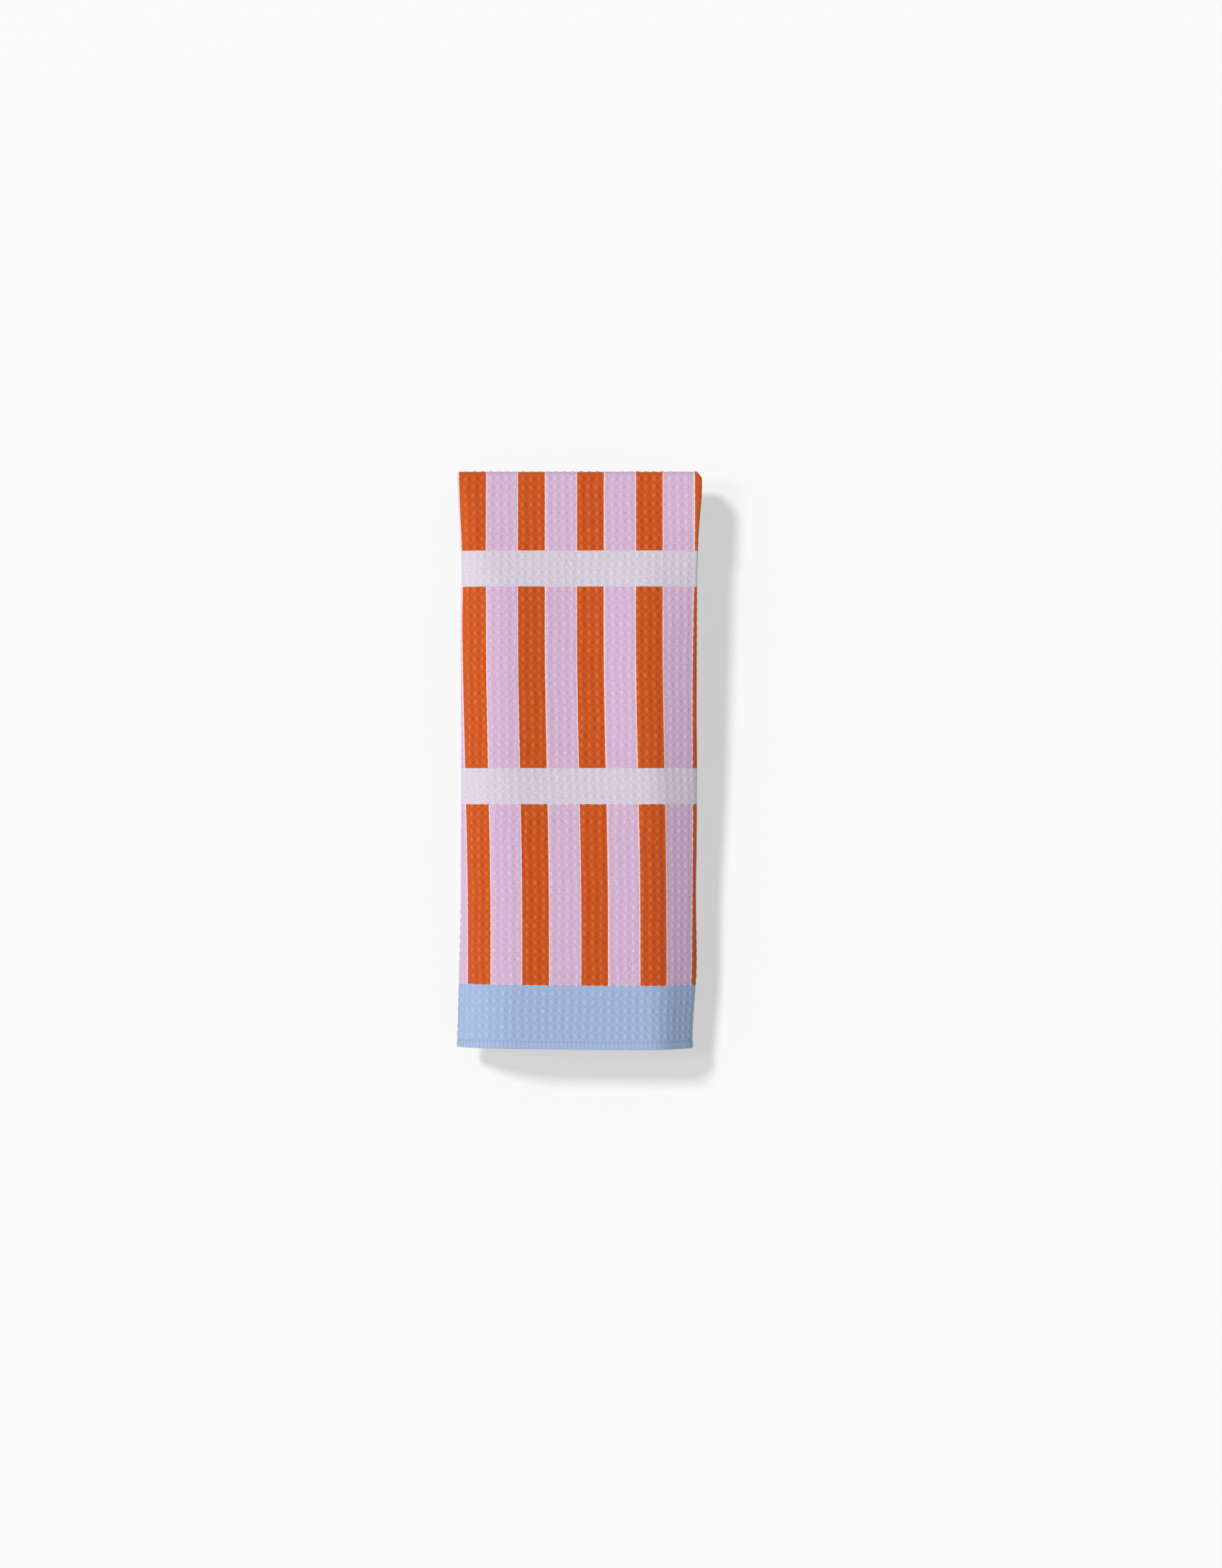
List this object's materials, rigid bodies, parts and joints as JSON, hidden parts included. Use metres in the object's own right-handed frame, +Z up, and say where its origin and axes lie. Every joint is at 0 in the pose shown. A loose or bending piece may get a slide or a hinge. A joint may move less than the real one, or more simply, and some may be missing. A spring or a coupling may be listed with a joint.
{
  "type": "golf towel",
  "caption": "Rectangular waffle-weave towel folded lengthwise in thirds and hung at its middle over a flat rail, with stitched hems and two flaps that lift.",
  "frame": {"origin": "centre of the underside of the innermost layer of cloth, where the towel rests on the rail's top face", "axes": "X along the rail, -Y to the front, +Z up"},
  "size_m": [0.1524, 0.0192, 0.3739],
  "materials": {
    "printed_waffle_cloth": "matt waffle-weave microfibre, printed orange and lilac stripes with pale and blue bands",
    "side_hem_cloth": "matt turned and sewn microfibre",
    "end_hem_cloth": "matt turned and sewn microfibre, light blue",
    "sewing_thread": "polyester thread, slight sheen"
  },
  "bodies": {
    "saddle": {"saddle_face_panel": "printed_waffle_cloth", "saddle_left_third": "printed_waffle_cloth", "saddle_right_third": "printed_waffle_cloth", "saddle_left_side_hem": "side_hem_cloth", "saddle_right_side_hem": "side_hem_cloth", "saddle_left_side_seam": "sewing_thread", "saddle_right_side_seam": "sewing_thread", "front_bend_face": "printed_waffle_cloth", "front_bend_left_third": "printed_waffle_cloth", "front_bend_right_third": "printed_waffle_cloth", "back_bend_face": "printed_waffle_cloth", "back_bend_left_third": "printed_waffle_cloth", "back_bend_right_third": "printed_waffle_cloth"},
    "front_flap": {"front_face_panel": "printed_waffle_cloth", "front_left_third": "printed_waffle_cloth", "front_right_third": "printed_waffle_cloth", "front_left_side_hem": "side_hem_cloth", "front_right_side_hem": "side_hem_cloth", "front_left_side_seam": "sewing_thread", "front_right_side_seam": "sewing_thread", "front_end_hem": "end_hem_cloth", "front_end_seam": "sewing_thread"},
    "back_flap": {"back_face_panel": "printed_waffle_cloth", "back_left_third": "printed_waffle_cloth", "back_right_third": "printed_waffle_cloth", "back_left_side_hem": "side_hem_cloth", "back_right_side_hem": "side_hem_cloth", "back_left_side_seam": "sewing_thread", "back_right_side_seam": "sewing_thread", "back_end_hem": "end_hem_cloth", "back_end_seam": "sewing_thread"}
  },
  "joints": [
    {"name": "front_flap_lift", "type": "hinge", "parent": "saddle", "child": "front_flap", "pos_m": [0, -0.00535, -0.001], "axis": [-1, 0, 0], "range_deg": [0, 90], "deforming": ["front_bend_face", "front_bend_left_third", "front_bend_right_third"]},
    {"name": "back_flap_lift", "type": "hinge", "parent": "saddle", "child": "back_flap", "pos_m": [0, 0.00535, -0.001], "axis": [1, 0, 0], "range_deg": [0, 90], "deforming": ["back_bend_face", "back_bend_left_third", "back_bend_right_third"]}
  ]
}
